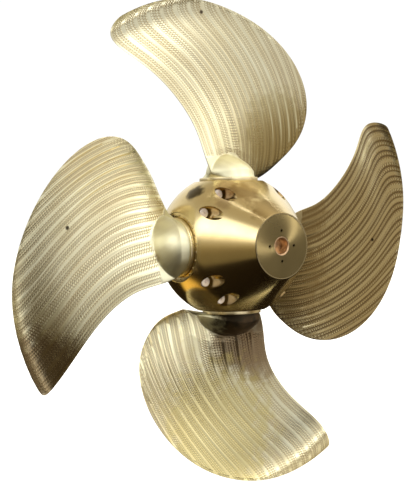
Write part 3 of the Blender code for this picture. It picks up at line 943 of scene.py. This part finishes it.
# %% Ring screws
SCREW_COUNT = 24
SCREW_SIDES = 12
SCREW_SHARP = 35
SCREW_CIRCLE = (RING_RADIUS + RING_BORE_RADIUS) / 2
SCREW_RADIUS = 0.0042
SCREW_HEIGHT = 0.0014
SCREW_CHAMFER = 0.0006
SCREW_SOCKET = 0.0021
SCREW_SOCKET_FLOOR = 0.0002
SCREW_SOCKET_TAPER = 0.0003
SCREW_LIFT = 0.0001
screw_profile = [
    (SCREW_SOCKET_FLOOR, 0), (SCREW_SOCKET_FLOOR, SCREW_SOCKET),
    (SCREW_HEIGHT, SCREW_SOCKET + SCREW_SOCKET_TAPER), (SCREW_HEIGHT, SCREW_RADIUS - SCREW_CHAMFER),
    (SCREW_HEIGHT - SCREW_CHAMFER, SCREW_RADIUS), (0.0, SCREW_RADIUS), (0.0, 0)]


def circle_places(count, radius, turn=0.0):
    """Sideways and upward distances of places on a circle, turned by a share of one step."""
    angles = [(index + turn) * math.tau / count for index in range(count)]
    return [(radius * math.sin(angle), radius * math.cos(angle)) for angle in angles]


def ring_screws(index):
    spots = [Matrix.Translation((x, y, PORT_PLANE + SCREW_LIFT))
             for y, x in circle_places(SCREW_COUNT, SCREW_CIRCLE, 0.5)]
    bm = joined([spun(screw_profile, "Z", SCREW_SIDES, spot) for spot in spots])
    bmesh.ops.transform(bm, matrix=to_spindle(index), verts=bm.verts)
    return finish_mesh(bm, "ring screws", sharp=SCREW_SHARP)


for index in range(BLADE_COUNT):
    add_piece(f"ring_screws_{index + 1}", ring_screws(index), screw_bronze, "bolt_bronze", "hub")
print("screws on each ring:", SCREW_COUNT)

# %% [markdown]
# ## The casing halves
# Each half is one turned body, cut by the ports, the bolt pockets and the holes. A Boolean does the
# cutting, on objects that are removed again, and the outer skin gets exact normals from its profile,
# so that the reflections run straight along the cone.

# %% Cutters
BOLT_CIRCLE = 0.240
BOLT_ANGLE = math.radians(33.0)
BOLT_SEAT = -0.082
BOLT_SHANK_RADIUS = 0.012
BOLT_POCKET_RADIUS = 0.027
BOLT_REACH = 0.060
BOLT_SPIN = 48
FLANGE_HOLE_CIRCLE = 0.145
FLANGE_HOLE_RADIUS = 0.012
FLANGE_HOLE_COUNT = 12
FLANGE_HOLE_DEPTH = 0.050
FLANGE_HOLE_SPIN = 32
CUT_OVERRUN = 0.02
PORT_TURN = 0.003


def holes(profile, places, steps):
    """A turned cutter or screw, set at each of several places."""
    return [spun(profile, "Y", steps, Matrix.Translation((x, 0, z))) for x, z in places]


def bolt_places():
    """Sideways and upward distances of the casing bolts, two between each pair of ports."""
    places = []
    for index in range(BLADE_COUNT):
        for side in (BOLT_ANGLE, math.tau / BLADE_COUNT - BOLT_ANGLE):
            angle = index * math.tau / BLADE_COUNT + side
            places.append((BOLT_CIRCLE * math.sin(angle), BOLT_CIRCLE * math.cos(angle)))
    return places


def hub_cutters():
    """Ports and bolt holes. The ports are turned a hair, so that no two edges lie on each other."""
    outside = HUB_SPHERE + CUT_OVERRUN
    port = [(PORT_FLOOR, 0), (PORT_FLOOR, PORT_BORE_RADIUS), (RECESS_FLOOR, PORT_BORE_RADIUS),
            (RECESS_FLOOR, RECESS_RADIUS), (outside, RECESS_RADIUS), (outside, 0)]
    turns = [index * math.tau / BLADE_COUNT + PORT_TURN for index in range(BLADE_COUNT)]
    parts = [spun(port, "Z", PORT_SPIN, Matrix.Rotation(turn, 4, "Y")) for turn in turns]
    shank = BOLT_SHANK_RADIUS + SEAT_GAP
    mouth = NOSE_FACE - CUT_OVERRUN
    hole = [(mouth, 0), (mouth, BOLT_POCKET_RADIUS), (BOLT_SEAT, BOLT_POCKET_RADIUS), (BOLT_SEAT, shank),
            (BOLT_REACH, shank), (BOLT_REACH, 0)]
    return joined(parts + holes(hole, bolt_places(), BOLT_SPIN))


def flange_cutters():
    deep, mouth = FLANGE_FACE - FLANGE_HOLE_DEPTH, FLANGE_FACE + CUT_OVERRUN
    hole = [(deep, 0), (deep, FLANGE_HOLE_RADIUS), (mouth, FLANGE_HOLE_RADIUS), (mouth, 0)]
    return joined(holes(hole, circle_places(FLANGE_HOLE_COUNT, FLANGE_HOLE_CIRCLE, 0.5), FLANGE_HOLE_SPIN))


print("bolt places:", len(bolt_places()))

# %% Cut, then bake the Boolean
SAME_SIDE = 0.8


def cut_mesh(body, cutter_bm, name):
    """The mesh of a body after an exact difference."""
    solid = new_object(name, finish_mesh(body, name, smooth=False))
    cutter = new_object("cutter", finish_mesh(cutter_bm, "cutter", smooth=False))
    boolean = solid.modifiers.new("cut", "BOOLEAN")
    boolean.operation = "DIFFERENCE"
    boolean.solver = "EXACT"
    boolean.object = cutter
    graph = bpy.context.evaluated_depsgraph_get()
    mesh = bpy.data.meshes.new_from_object(solid.evaluated_get(graph))
    for item in (solid, cutter):
        spare = item.data
        bpy.data.objects.remove(item)
        bpy.data.meshes.remove(spare)
    return mesh


def set_turned_normals(mesh, skin):
    """Exact normals where a corner lies on the turned skin, plain face normals elsewhere."""
    normals = []
    for face in mesh.polygons:
        for index in face.vertices:
            x, y, z = mesh.vertices[index].co
            radius = math.hypot(x, z)
            slope = skin(y, radius)
            if slope is None or radius < SEAM:
                normals.append(tuple(face.normal))
                continue
            normal = Vector((x / radius * slope[0], slope[1], z / radius * slope[0]))
            same = normal.dot(face.normal) > SAME_SIDE
            normals.append(tuple(normal if same else face.normal))
    mesh.shade_smooth()
    mesh.normals_split_custom_set(normals)


# %% [markdown]
# The aft half is part of a sphere that runs into a straight cone, and it ends in a narrow flat ring with
# seats for the nose plate and the bush. The forward half is the sphere again, with a neck and the shaft
# flange. The two meet on the plane of the spindles.

# %% The casing's profiles
HUB_SPIN = 240
SPHERE_STEPS = 28
SKIN_TOLERANCE = 2e-4
SKIN_END = 1e-5
CONE_SHARES = (-0.02, 1.01)
PLATE_RADIUS = 0.1205
PLATE_THICKNESS = 0.030
BUSH_OUTER = 0.0360
BUSH_LENGTH = 0.050
CONE_LENGTH = CONE_START - NOSE_FACE
CONE_DROP = math.sqrt(HUB_SPHERE**2 - CONE_START**2) - NOSE_RADIUS


def sphere_points(start, end):
    return [(along, math.sqrt(HUB_SPHERE**2 - along**2)) for along in np.linspace(start, end, SPHERE_STEPS)]


def hub_skin(along, radius):
    """Radial and axial parts of the turned skin's normal, or None off the skin."""
    on_sphere = abs(math.hypot(along, radius) - HUB_SPHERE) < SKIN_TOLERANCE
    if on_sphere and CONE_START - SKIN_END <= along <= NECK_START + SKIN_END:
        return radius / HUB_SPHERE, along / HUB_SPHERE
    share = (along - NOSE_FACE) / CONE_LENGTH
    on_cone = abs(radius - NOSE_RADIUS - CONE_DROP * share) < SKIN_TOLERANCE
    if on_cone and CONE_SHARES[0] < share < CONE_SHARES[1]:
        length = math.hypot(CONE_LENGTH, CONE_DROP)
        return CONE_LENGTH / length, -CONE_DROP / length
    return None


def casing_half(profile, cutters, name):
    mesh = cut_mesh(spun(profile, "Y", HUB_SPIN), cutters, name)
    set_turned_normals(mesh, hub_skin)
    mesh.transform(TO_HUB)
    return mesh


print("cone:", round(CONE_LENGTH, 3), "m long, narrowing by", round(CONE_DROP, 3), "m")

# %% The two halves
plate_seat = NOSE_FACE + PLATE_THICKNESS
plate_bore = PLATE_RADIUS + SEAT_GAP
bush_seat = BUSH_OUTER + SEAT_GAP
bush_end = NOSE_FACE + BUSH_LENGTH + SEAT_GAP
rim_radius = NOSE_RADIUS + CONE_DROP * RIM / CONE_LENGTH
aft_profile = [(bush_end, 0), (bush_end, bush_seat), (plate_seat, bush_seat), (plate_seat, plate_bore),
               (NOSE_FACE, plate_bore), (NOSE_FACE, NOSE_RADIUS - RIM), (NOSE_FACE + RIM, rim_radius)]
aft_profile += sphere_points(CONE_START, -SEAT_GAP / 2) + [(-SEAT_GAP / 2, 0)]
forward_profile = [(FLANGE_FACE, 0), (FLANGE_FACE, FLANGE_RADIUS - RIM), (FLANGE_FACE - RIM, FLANGE_RADIUS),
                   (FLANGE_FACE - FLANGE_THICKNESS, FLANGE_RADIUS)]
forward_profile += sphere_points(NECK_START, SEAT_GAP / 2) + [(SEAT_GAP / 2, 0)]
aft = casing_half(aft_profile, hub_cutters(), "aft")
forward = casing_half(forward_profile, joined([hub_cutters(), flange_cutters()]), "forward")
add_piece("aft_casing", aft, polished_bronze, "hub_bronze", "hub", "hub_aft_half")
add_piece("forward_casing", forward, polished_bronze, "hub_bronze", "hub", "hub_forward_half")
print("casing faces:", len(aft.polygons), len(forward.polygons))

# %% [markdown]
# Eight cap screws clamp the halves. Their heads lie in deep pockets of the cone. A profile spun in six
# steps is a hexagon, and it cuts the socket of each head.

# %% Casing bolts with hexagon sockets
BOLT_HEAD_RADIUS = 0.0192
BOLT_HEAD_HEIGHT = 0.027
BOLT_CHAMFER = 0.0015
SOCKET_RADIUS = 0.0065
SOCKET_DEPTH = 0.006
SOCKET_OVERRUN = 0.01
HEXAGON = 6
CUT_SHARP = 30


def set_in_hub(mesh):
    """Smooth up to an angle, and moved from the origin to the hub's centre."""
    mesh.shade_smooth()
    mesh.set_sharp_from_angle(angle=math.radians(CUT_SHARP))
    mesh.transform(TO_HUB)
    return mesh


def casing_bolt(x, z):
    seat, reach = BOLT_SEAT - SEAT_GAP, BOLT_REACH - SEAT_GAP
    top = seat - BOLT_HEAD_HEIGHT
    profile = [(top, 0), (top, BOLT_HEAD_RADIUS - BOLT_CHAMFER), (top + BOLT_CHAMFER, BOLT_HEAD_RADIUS),
               (seat, BOLT_HEAD_RADIUS), (seat, BOLT_SHANK_RADIUS), (reach, BOLT_SHANK_RADIUS), (reach, 0)]
    socket = [(top - SOCKET_OVERRUN, 0), (top - SOCKET_OVERRUN, SOCKET_RADIUS),
              (top + SOCKET_DEPTH, SOCKET_RADIUS), (top + SOCKET_DEPTH, 0)]
    spot = Matrix.Translation((x, 0, z))
    screw = spun(profile, "Y", BOLT_SPIN, spot)
    return set_in_hub(cut_mesh(screw, spun(socket, "Y", HEXAGON, spot), "bolt"))


for number, (x, z) in enumerate(bolt_places(), start=1):
    bolt = casing_bolt(x, z)
    add_piece(f"casing_bolt_{number}", bolt, bolt_bronze, "bolt_bronze", "hub", f"hub_bolt_{number}")
print("casing bolts:", len(bolt_places()))

# %% [markdown]
# A flat disc closes the nose. It has four small tapped holes and a central bore, in which a
# copper-coloured bush stands. The bush is a plain turned cup, so it needs no cut.

# %% Nose plate and bush
PLATE_SPIN = 192
PLATE_EDGE = 0.0005
BORE_EDGE = 0.0006
TAPPED_COUNT = 4
TAPPED_CIRCLE = 0.058
TAPPED_RADIUS = 0.0045
TAPPED_DEPTH = 0.014
TAPPED_MOUTH = 0.0012
TAPPED_SPIN = 24
BUSH_BORE = 0.0300
BUSH_INSET = 0.001
BUSH_BOTTOM = 0.006
BUSH_MOUTH = 0.003
BUSH_SPIN = 96


def nose_plate():
    back = plate_seat - SEAT_GAP
    profile = [(back, bush_seat), (NOSE_FACE + BORE_EDGE, bush_seat), (NOSE_FACE, bush_seat + BORE_EDGE),
               (NOSE_FACE, PLATE_RADIUS - PLATE_EDGE), (NOSE_FACE + PLATE_EDGE, PLATE_RADIUS),
               (back, PLATE_RADIUS)]
    outside, mouth = NOSE_FACE - CUT_OVERRUN, TAPPED_RADIUS + TAPPED_MOUTH
    hole = [(outside, 0), (outside, mouth), (NOSE_FACE, mouth), (NOSE_FACE + TAPPED_MOUTH, TAPPED_RADIUS),
            (NOSE_FACE + TAPPED_DEPTH, TAPPED_RADIUS), (NOSE_FACE + TAPPED_DEPTH, 0)]
    cutters = joined(holes(hole, circle_places(TAPPED_COUNT, TAPPED_CIRCLE), TAPPED_SPIN))
    return set_in_hub(cut_mesh(spun(profile, "Y", PLATE_SPIN), cutters, "plate"))


def bush():
    front, back = NOSE_FACE + BUSH_INSET, NOSE_FACE + BUSH_LENGTH
    bottom = back - BUSH_BOTTOM
    profile = [(bottom, 0), (bottom, BUSH_BORE), (front + BUSH_MOUTH, BUSH_BORE),
               (front, BUSH_BORE + BUSH_MOUTH), (front, BUSH_OUTER - PLATE_EDGE),
               (front + PLATE_EDGE, BUSH_OUTER), (back, BUSH_OUTER), (back, 0)]
    return set_in_hub(finish_mesh(spun(profile, "Y", BUSH_SPIN), "bush"))


add_piece("nose_disc", nose_plate(), shaded_nose_bronze, "hub_bronze", "hub", "end_plate")
add_piece("bore_bush", bush(), bush_copper, "bush_copper", "hub", "centre_bush")

# %% [markdown]
# ## Floor, light and camera
# Bronze shows what it reflects, so the studio matters more than the metal. A pale floor lies under the
# lowest blade. Mirror-like rays pass it and see a dark room below, as on a propeller that hangs over a
# dark shop floor, and this gives the lower half of the hub its deep brown. It blocks no lamp either, so
# a soft box may reach below it.

# %% Floor
FLOOR_SIZE = 60.0
FLOOR_DROP = 0.02


def stage_plane(name, matrix, colour, roughness, glow, strength):
    """A flat piece of the studio with a glow of its own, made from a square one metre wide."""
    bm = bmesh.new()
    bmesh.ops.create_grid(bm, x_segments=1, y_segments=1, size=0.5, matrix=matrix)
    mesh = bpy.data.meshes.new(name)
    bm.to_mesh(mesh)
    bm.free()
    plane = new_object(name, mesh)
    plane.visible_shadow = False
    material = bpy.data.materials.new(name)
    material.use_nodes = True
    feed_shader(material.node_tree, {"Base Color": colour, "Roughness": roughness, "Emission Color": glow,
                                     "Emission Strength": strength})
    mesh.materials.append(material)
    return plane


floor_place = Vector((0, 0, cad_box[0][2] - FLOOR_DROP))
floor_matrix = Matrix.LocRotScale(floor_place, None, Vector((FLOOR_SIZE, FLOOR_SIZE, 1)))
floor = stage_plane("floor", floor_matrix, (0.93, 0.93, 0.93), 0.9, (1, 1, 1), 0.75)
floor.visible_glossy = False
print("floor height:", round(floor_place.z, 3), "m")

# %% [markdown]
# The world is white to the camera. To the metal it is a studio: brighter with height up to a brown
# ceiling, with soft lamps. A lamp is a round patch of sky, made from the angle between a direction and
# the lamp's own, so its edge can be as soft as wanted.

# %% World
WHITE_STRENGTH = 1.05
SKY = [
    (0.00, (0.010, 0.006, 0.003)),
    (0.36, (0.022, 0.014, 0.006)),
    (0.44, (0.085, 0.060, 0.030)),
    (0.49, (0.27, 0.23, 0.15)),
    (0.53, (0.55, 0.52, 0.42)),
    (0.60, (1.00, 0.98, 0.90)),
    (0.75, (1.15, 1.12, 1.02)),
    (0.88, (0.55, 0.49, 0.36)),
    (1.00, (0.50, 0.41, 0.26)),
]
world = bpy.data.worlds.new("studio")
bpy.context.scene.world = world
world.use_nodes = True
tree = world.node_tree
tree.nodes.clear()
where = add_node(tree, "ShaderNodeTexCoord").outputs["Generated"]
level = map_range(tree, split_xyz(tree, where)["Z"], -1.0, 1.0, kind="LINEAR")
sky = add_node(tree, "ShaderNodeValToRGB", {"Fac": level})
ramp = sky.color_ramp
while len(ramp.elements) < len(SKY):
    ramp.elements.new(1.0)
for element, (place, colour) in zip(ramp.elements, SKY):
    element.position = place
    element.color = (*colour, 1)
print("world steps:", len(SKY))

# %% [markdown]
# Each patch has a direction from the hub, the cosines of its outer and its inner edge, and a colour. An
# added patch is a lamp. A multiplied one is a dark thing in the room, and it gives the metal the brown
# beside its highlights.

# %% Patches of light and shade in the sky
PATCHES = [
    ((0.62, -0.78, -0.06), (0.80, 0.93), (0.34, 0.28, 0.20), "MULTIPLY"),
    ((-0.84, -0.21, 0.50), (0.915, 0.97), (1.5, 1.5, 1.5), "ADD"),
    ((-0.97, -0.25, 0.04), (0.93, 0.975), (0.62, 0.56, 0.46), "MULTIPLY"),
    ((-0.94, -0.24, -0.20), (0.93, 0.97), (0.20, 0.16, 0.08), "ADD"),
    ((0.45, -0.35, 0.82), (0.80, 0.95), (0.95, 0.93, 0.85), "ADD"),
    ((0.72, 0.56, 0.30), (0.80, 0.97), (0.18, 0.17, 0.15), "ADD"),
    ((0.90, -0.30, 0.10), (0.80, 0.96), (0.5, 0.46, 0.36), "ADD"),
    ((0.22, -0.74, -0.62), (0.80, 0.95), (0.12, 0.09, 0.04), "ADD"),
    ((-0.383, 0.529, -0.757), (0.93, 0.985), (1.2, 0.75, 0.16), "ADD"),
]
light = sky.outputs["Color"]
for toward, edges, colour, blend in PATCHES:
    sockets = {0: where, 1: Vector(toward).normalized()}
    nearness = add_node(tree, "ShaderNodeVectorMath", sockets, operation="DOT_PRODUCT").outputs["Value"]
    light = mix_colour(tree, map_range(tree, nearness, *edges), light, colour, blend)
studio = add_node(tree, "ShaderNodeBackground", {"Color": light})
white = add_node(tree, "ShaderNodeBackground", {"Color": (1, 1, 1), "Strength": WHITE_STRENGTH})
seen = add_node(tree, "ShaderNodeLightPath").outputs["Is Camera Ray"]
choice = add_node(tree, "ShaderNodeMixShader", {0: seen, 1: studio.outputs[0], 2: white.outputs[0]})
add_node(tree, "ShaderNodeOutputWorld", {"Surface": choice.outputs[0]})
print("patches:", len(PATCHES))

# %% [markdown]
# Soft boxes near the blades give what the sky cannot: light that falls off from one blade to the next.
# Two long strips overhead draw thin highlights along the casing. A soft box on a plane in front brightens
# the upper right, and others light the top and the bottom blade. Light linking keeps three of the lamps
# to one piece each, so a lamp for the nose plate doesn't burn out the cone around it.

# %% Lamps
BOX_DISTANCE = 1.0
GLOW_SPREAD = 50.0
GLOW_DIRECTION = (-0.83, -0.05, 0.55)


def area_lamp(name, toward, distance, size, power):
    """A lamp in a direction from the hub, facing it, with its long side level."""
    lamp = bpy.data.lights.new(name, "AREA")
    lamp.shape = "RECTANGLE"
    lamp.size, lamp.size_y = size
    lamp.energy = power
    item = new_object(name, lamp)
    item.location = HUB_CENTRE + Vector(toward).normalized() * distance
    item.rotation_euler = (-Vector(toward)).to_track_quat("-Z", "Y").to_euler()
    item.visible_camera = False
    return item


def front_lamp(name, middle, size, power):
    """A soft box on the upright plane in front of the blades."""
    lamp = area_lamp(name, (0, -1, 0), BOX_DISTANCE, size, power)
    lamp.location = HUB_CENTRE + Vector((middle[0], -BOX_DISTANCE, middle[1]))
    return lamp


area_lamp("ceiling strip", (-0.20, -0.05, 0.98), 4.5, (3.0, 0.12), 3.5)
area_lamp("far strip", (0.578, 0.269, 0.77), 4.5, (3.0, 0.06), 3)
front_lamp("soft box", (0.82, 0.475), (2.35, 2.05), 10.4)
low_box = front_lamp("low box", (1.40, -1.20), (2.5, 1.4), 6.6)
front_lamp("tip box", (0.05, 1.35), (0.7, 0.6), 1.6)
tip_glow = area_lamp("tip glow", (0.21, 0.055, 0.43), 0.48, (0.45, 0.40), 0.14)
tip_glow.data.spread = math.radians(GLOW_SPREAD)
tip_glow.rotation_euler = Vector(GLOW_DIRECTION).to_track_quat("-Z", "Y").to_euler()
nose_lamp = area_lamp("nose lamp", (0.40, -0.90, 0.16), 1.2, (0.05, 0.05), 1.8)
for lamp, piece in ((low_box, "milled_blade_3"), (tip_glow, "milled_blade_1"), (nose_lamp, "nose_disc")):
    lit = bpy.data.collections.new("lit by the " + lamp.name)
    lit.objects.link(bpy.data.objects[piece])
    lamp.light_linking.receiver_collection = lit
print("lamps:", len(bpy.data.lights))

# %% [markdown]
# The right-hand blade and the lowest root reflect a dark brown corner of the room. Two upright cards
# stand for it: the camera does not see them and they throw no shadow, so they only appear in the metal.

# %% Dark cards
CARD_DISTANCE = 0.38
UPRIGHT = Matrix.Rotation(math.pi / 2, 3, "X")
CARDS = [
    ("right card", (0.48, 1.90), (-0.42, 0.50), (0.43, 0.335, 0.20)),
    ("root card", (0.14, 0.48), (-0.50, -0.18), (0.16, 0.12, 0.065)),
]
for name, (left, right), (low, high), glow in CARDS:
    middle = HUB_CENTRE + Vector(((left + right) / 2, -CARD_DISTANCE, (low + high) / 2))
    matrix = Matrix.LocRotScale(middle, UPRIGHT, Vector((right - left, high - low, 1)))
    card = stage_plane(name, matrix, (0, 0, 0), 1.0, glow, 1.0)
    card.visible_camera = False
    card.visible_diffuse = False
print("cards:", len(CARDS))

# %% [markdown]
# The photograph has hard, bright highlights, so the plain display transform is used, without a film
# curve. The camera is placed from the hub. It stands 37 degrees to the side of the shaft and almost
# level with it, 4.6 m away, and it is rolled by a degree or so.

# %% Display and camera
CAMERA_PLACE = HUB_CENTRE + Vector((-2.7465, -3.6876, 0.1383))
CAMERA_AIM = HUB_CENTRE + Vector((-0.0893, 0.0647, -0.0005))
CAMERA_ROLL = math.radians(-1.39)
CAMERA_LENS = 84.2
CAMERA_SENSOR = 36.0
bpy.context.scene.view_settings.view_transform = "Standard"
camera = bpy.data.cameras.new("camera")
camera.lens = CAMERA_LENS
camera.sensor_width = CAMERA_SENSOR
viewer = new_object("camera", camera)
viewer.location = CAMERA_PLACE
look = (CAMERA_AIM - CAMERA_PLACE).to_track_quat("-Z", "Y")
viewer.rotation_euler = (look.to_matrix() @ Matrix.Rotation(CAMERA_ROLL, 3, "Z")).to_euler()
bpy.context.scene.camera = viewer
print("camera distance:", round((CAMERA_PLACE - HUB_CENTRE).length, 3), "m")
